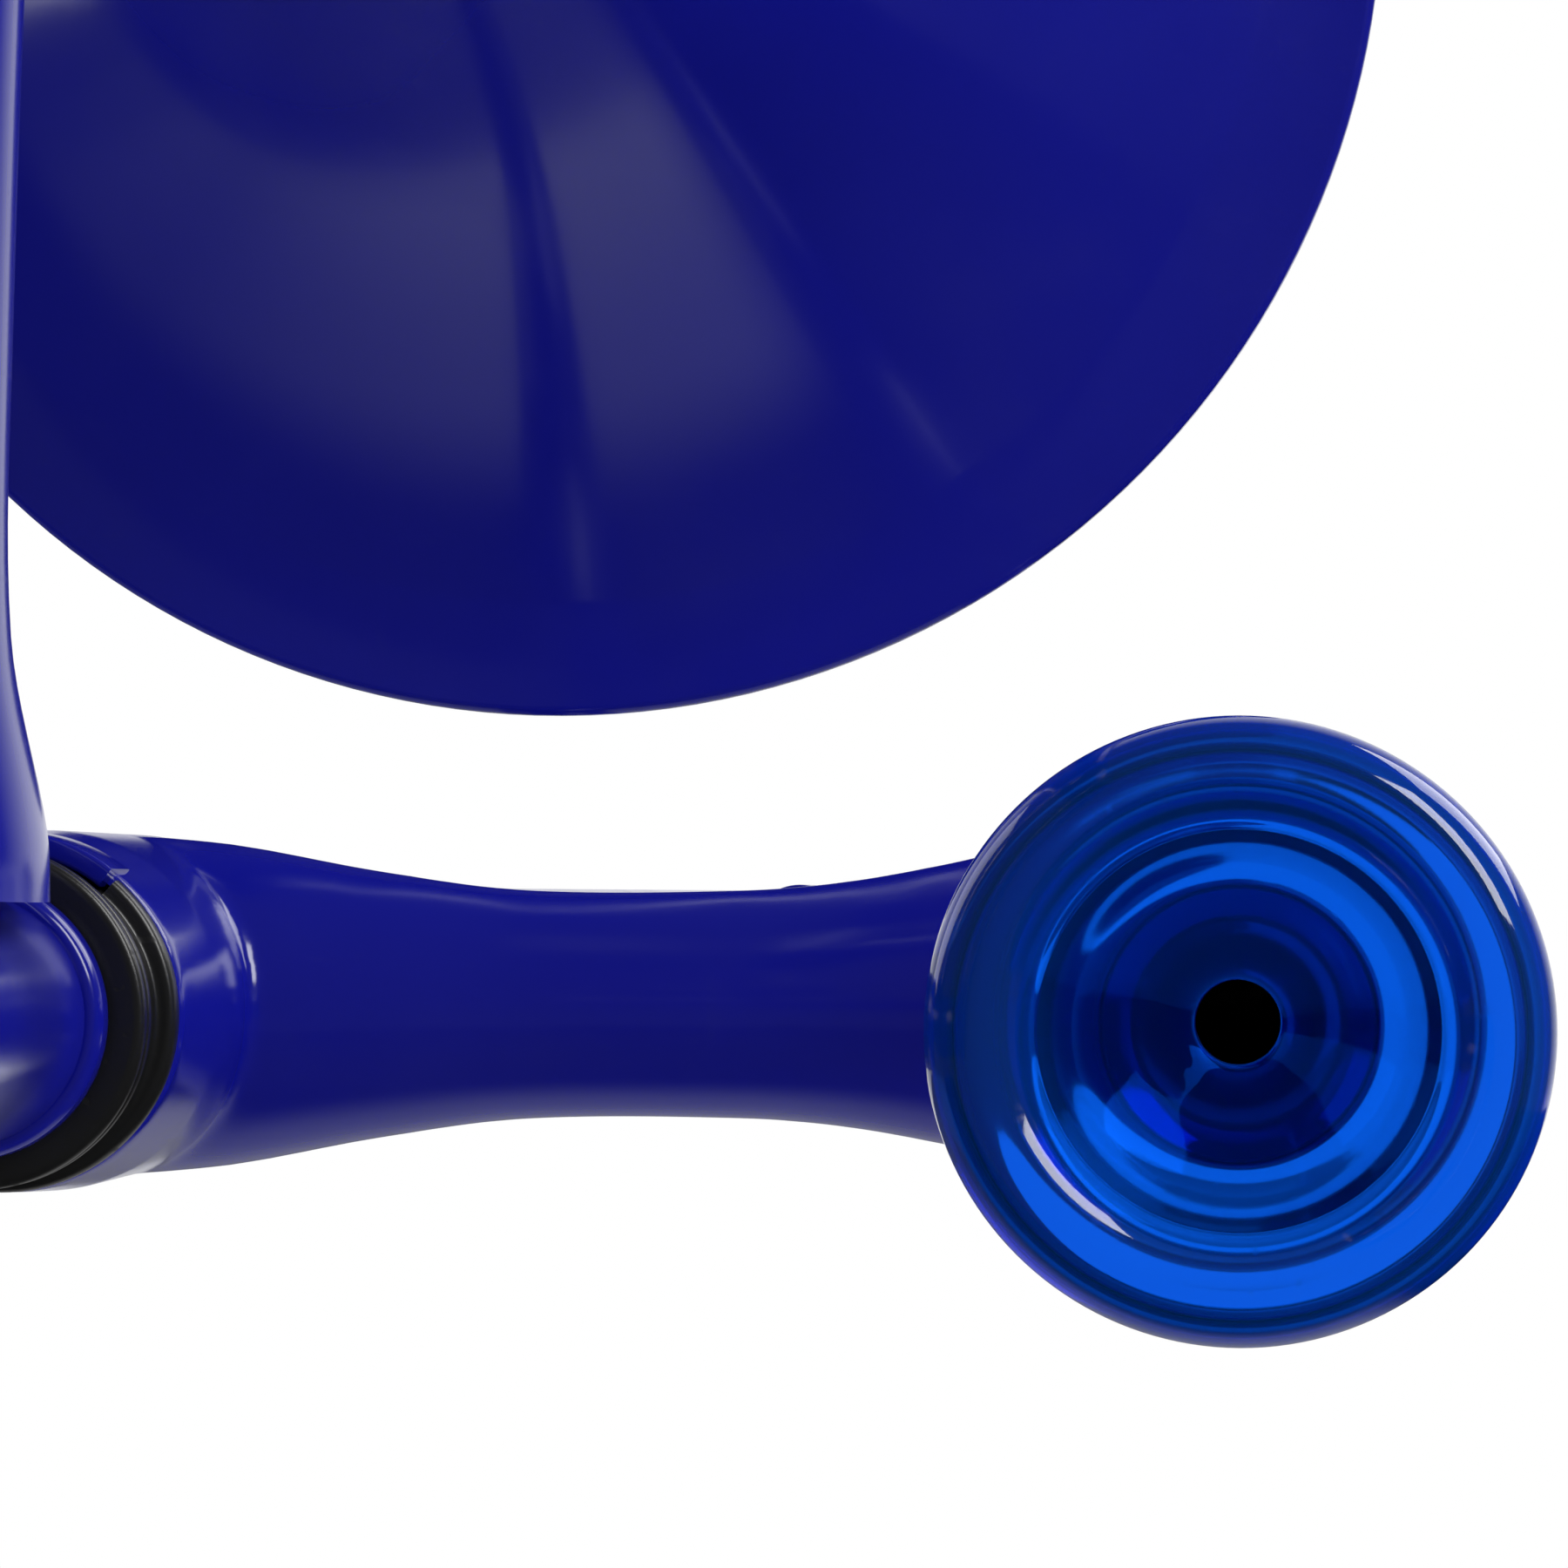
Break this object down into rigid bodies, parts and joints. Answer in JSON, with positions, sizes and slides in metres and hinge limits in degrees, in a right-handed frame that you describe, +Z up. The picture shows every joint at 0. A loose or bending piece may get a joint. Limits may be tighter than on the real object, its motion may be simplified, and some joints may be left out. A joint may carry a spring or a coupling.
{
  "type": "tenor trombone",
  "caption": "Moulded plastic tenor trombone: flared bell above a telescoping U slide, with a cup mouthpiece, grip brace, tuning bow and water key.",
  "frame": {"origin": "midway between the two slide tubes and in their plane, at the grip, where the left hand holds the instrument", "axes": "+Y forward, from the mouthpiece to the slide crook; +Z up, from the slide to the bell; +X from the bell side to the mouthpiece side"},
  "size_m": [0.2041, 1.1515, 0.2604],
  "materials": {
    "blue_plastic": "deep blue, glossy, moulded",
    "translucent_blue_plastic": "clear blue, glossy",
    "black_plastic": "black, satin",
    "composite_tube": "dark fibre composite, satin",
    "black_rubber": "black, matte",
    "steel": "bright drawn wire and pin"
  },
  "bodies": {
    "grip": {"grip_brace": "blue_plastic", "joint_bush": "black_plastic", "leadpipe": "black_plastic", "inner_tube_mouthpiece_side": "composite_tube", "inner_tube_bell_side": "composite_tube", "stocking_mouthpiece_side": "composite_tube", "stocking_bell_side": "composite_tube", "slide_cushion_mouthpiece_side": "black_rubber", "slide_cushion_bell_side": "black_rubber", "barrel_mouthpiece_side": "blue_plastic", "barrel_bell_side": "blue_plastic"},
    "hand_slide": {"outer_tube_mouthpiece_side": "blue_plastic", "outer_tube_bell_side": "blue_plastic", "crook_ferrule_mouthpiece_side": "blue_plastic", "crook_ferrule_bell_side": "blue_plastic", "hand_brace": "blue_plastic", "crook": "blue_plastic", "crook_bumper": "black_rubber", "key_nipple": "black_plastic", "key_saddle": "blue_plastic", "key_pin": "steel", "key_spring": "steel"},
    "slide_lock": {"lock_collar": "black_plastic"},
    "water_key": {"key_lever": "black_plastic", "key_pad": "black_rubber"},
    "bell_section": {"joint_tenon": "blue_plastic", "neck_pipe": "blue_plastic", "neck_ferrule": "blue_plastic", "bell": "blue_plastic", "bell_ferrule": "blue_plastic", "front_brace": "blue_plastic", "rear_brace": "blue_plastic"},
    "tuning_slide": {"tuning_leg_neck_side": "composite_tube", "tuning_leg_bell_side": "composite_tube", "tuning_bow": "blue_plastic", "bow_collar_neck_side": "blue_plastic", "bow_collar_bell_side": "blue_plastic", "tuning_brace": "blue_plastic", "counterweight": "blue_plastic"},
    "mouthpiece": {"mouthpiece": "translucent_blue_plastic"}
  },
  "joints": [
    {"name": "slide_travel", "type": "slide", "parent": "grip", "child": "hand_slide", "axis": [0, 1, 0], "range_m": [0, 0.585]},
    {"name": "bell_turn", "type": "hinge", "parent": "grip", "child": "bell_section", "pos_m": [-0.044, 0, 0], "axis": [0, 1, 0], "range_deg": [-60, 20]},
    {"name": "tuning_travel", "type": "slide", "parent": "bell_section", "child": "tuning_slide", "axis": [0, -1, 0], "range_m": [0, 0.05]},
    {"name": "mouthpiece_pull", "type": "slide", "parent": "grip", "child": "mouthpiece", "axis": [0, -1, 0], "range_m": [0, 0.035]},
    {"name": "slide_lock_turn", "type": "hinge", "parent": "hand_slide", "child": "slide_lock", "pos_m": [0.044, 0.095, 0], "axis": [0, -1, 0], "range_deg": [0, 22]},
    {"name": "water_key_press", "type": "hinge", "parent": "hand_slide", "child": "water_key", "pos_m": [-0.044, 0.727, -0.018], "axis": [-1, 0, 0], "range_deg": [0, 18], "stiffness_Nm_per_rad": 0.05, "springref_deg": -20.05}
  ]
}
